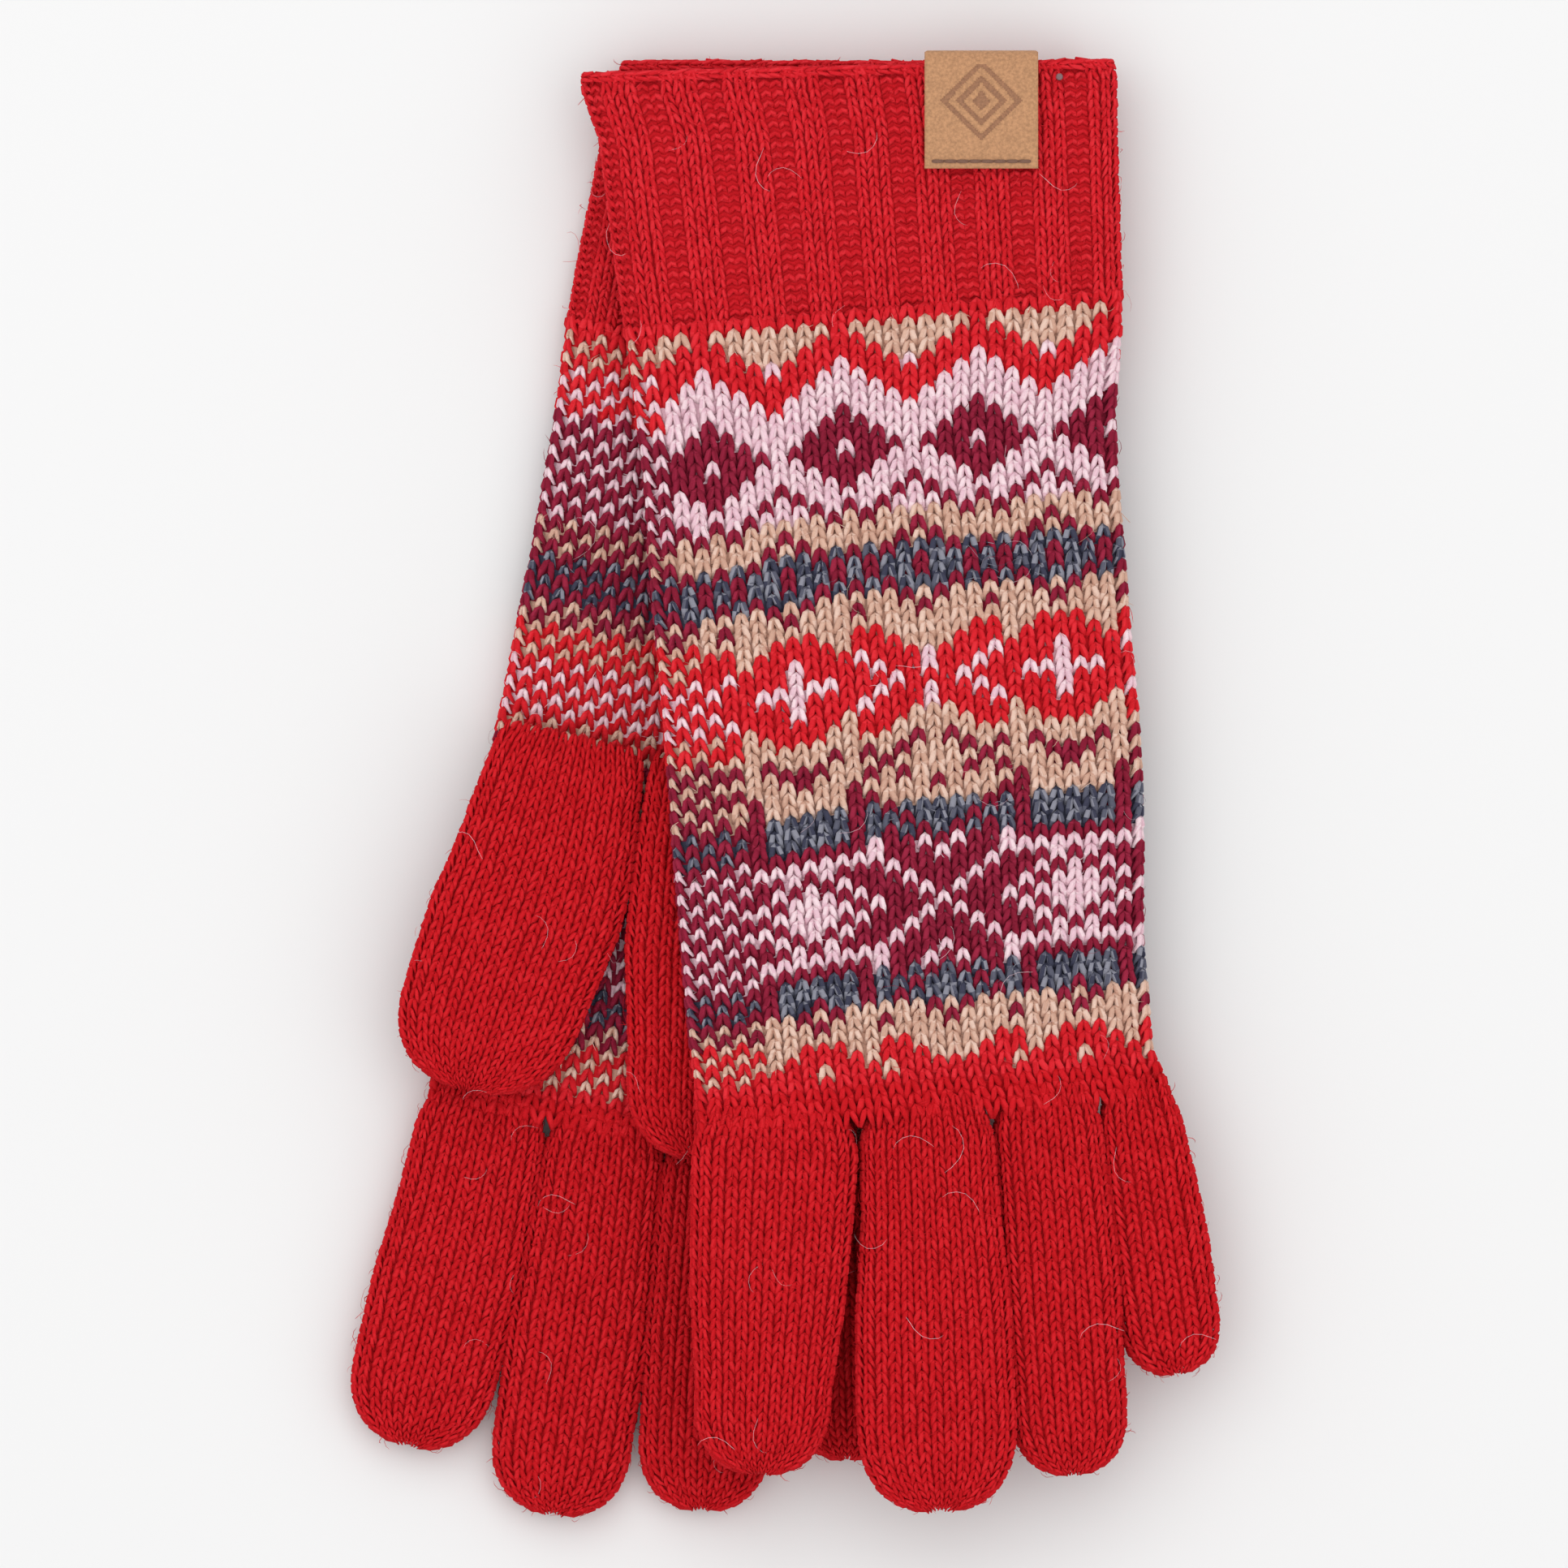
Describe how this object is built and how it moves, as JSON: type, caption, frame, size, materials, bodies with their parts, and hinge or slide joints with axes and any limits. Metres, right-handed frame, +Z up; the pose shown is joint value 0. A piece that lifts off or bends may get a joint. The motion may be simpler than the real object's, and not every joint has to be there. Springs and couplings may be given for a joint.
{
  "type": "knitted gloves",
  "caption": "Pair of knitted wool gloves with ribbed cuffs, patterned hands and separate finger tubes, laid palm to palm and tacked at the cuffs.",
  "frame": {"origin": "middle of the bounding box, on the table under the lower glove", "axes": "+X across the gloves, +Y from the fingertips to the cuffs, +Z up through the pair"},
  "size_m": [0.1522, 0.2614, 0.0266],
  "materials": {
    "red_rib": "matte ribbed wool knit",
    "red_plain": "matte plain wool knit",
    "jacquard": "matte five-colour wool jacquard",
    "label_leather": "matt debossed",
    "label_thread": "twisted thread",
    "clear_nylon": "translucent moulded nylon"
  },
  "bodies": {
    "right_cuff": {"right_cuff": "red_rib", "pair_tack": "clear_nylon"},
    "left_cuff": {"left_cuff": "red_rib", "label_patch": "label_leather", "label_stitching": "label_thread"},
    "right_hand": {"right_hand": "jacquard"},
    "right_thumb": {"right_thumb": "red_plain"},
    "right_index": {"right_index": "red_plain"},
    "right_middle": {"right_middle": "red_plain"},
    "right_ring": {"right_ring": "red_plain"},
    "right_little": {"right_little": "red_plain"},
    "left_hand": {"left_hand": "jacquard"},
    "left_thumb": {"left_thumb": "red_plain"},
    "left_index": {"left_index": "red_plain"},
    "left_middle": {"left_middle": "red_plain"},
    "left_ring": {"left_ring": "red_plain"},
    "left_little": {"left_little": "red_plain"}
  },
  "joints": [
    {"name": "pair_swing", "type": "hinge", "parent": "right_cuff", "child": "left_cuff", "pos_m": [0.04825, 0.12599, 0.0179], "axis": [0, 0, 1], "range_deg": [0, 30]},
    {"name": "right_wrist", "type": "hinge", "parent": "right_cuff", "child": "right_hand", "pos_m": [0.00292, 0.07326, 0], "axis": [0.9826, -0.1857, 0], "range_deg": [0, 60]},
    {"name": "left_wrist", "type": "hinge", "parent": "left_cuff", "child": "left_hand", "pos_m": [0.01494, 0.08263, 0.0179], "axis": [-0.9969, -0.0785, 0], "range_deg": [0, 60]},
    {"name": "right_thumb_swing", "type": "hinge", "parent": "right_hand", "child": "right_thumb", "pos_m": [-0.0404, 0.00009, 0.00895], "axis": [0, 0, -1], "range_deg": [0, 30]},
    {"name": "right_index_fold", "type": "hinge", "parent": "right_hand", "child": "right_index", "pos_m": [-0.05439, -0.05879, 0], "axis": [0.9826, -0.1857, 0], "range_deg": [0, 75]},
    {"name": "right_middle_fold", "type": "hinge", "parent": "right_hand", "child": "right_middle", "pos_m": [-0.03277, -0.06288, 0], "axis": [0.9826, -0.1857, 0], "range_deg": [0, 75]},
    {"name": "right_ring_fold", "type": "hinge", "parent": "right_hand", "child": "right_ring", "pos_m": [-0.01194, -0.06681, 0], "axis": [0.9826, -0.1857, 0], "range_deg": [0, 75]},
    {"name": "right_little_fold", "type": "hinge", "parent": "right_hand", "child": "right_little", "pos_m": [0.00889, -0.07075, 0], "axis": [0.9826, -0.1857, 0], "range_deg": [0, 75]},
    {"name": "left_thumb_swing", "type": "hinge", "parent": "left_hand", "child": "left_thumb", "pos_m": [-0.01193, -0.00382, 0.01765], "axis": [0, 0, 1], "range_deg": [0, 15]},
    {"name": "left_index_fold", "type": "hinge", "parent": "left_hand", "child": "left_index", "pos_m": [-0.00227, -0.06197, 0.0266], "axis": [-0.9969, -0.0785, 0], "range_deg": [0, 75]},
    {"name": "left_middle_fold", "type": "hinge", "parent": "left_hand", "child": "left_middle", "pos_m": [0.0244, -0.05987, 0.02552], "axis": [-0.9969, -0.0785, 0], "range_deg": [0, 75]},
    {"name": "left_ring_fold", "type": "hinge", "parent": "left_hand", "child": "left_ring", "pos_m": [0.04573, -0.05819, 0.02181], "axis": [-0.9969, -0.0785, 0], "range_deg": [0, 75]},
    {"name": "left_little_fold", "type": "hinge", "parent": "left_hand", "child": "left_little", "pos_m": [0.06208, -0.05691, 0.01897], "axis": [-0.9969, -0.0785, 0], "range_deg": [0, 75]}
  ]
}
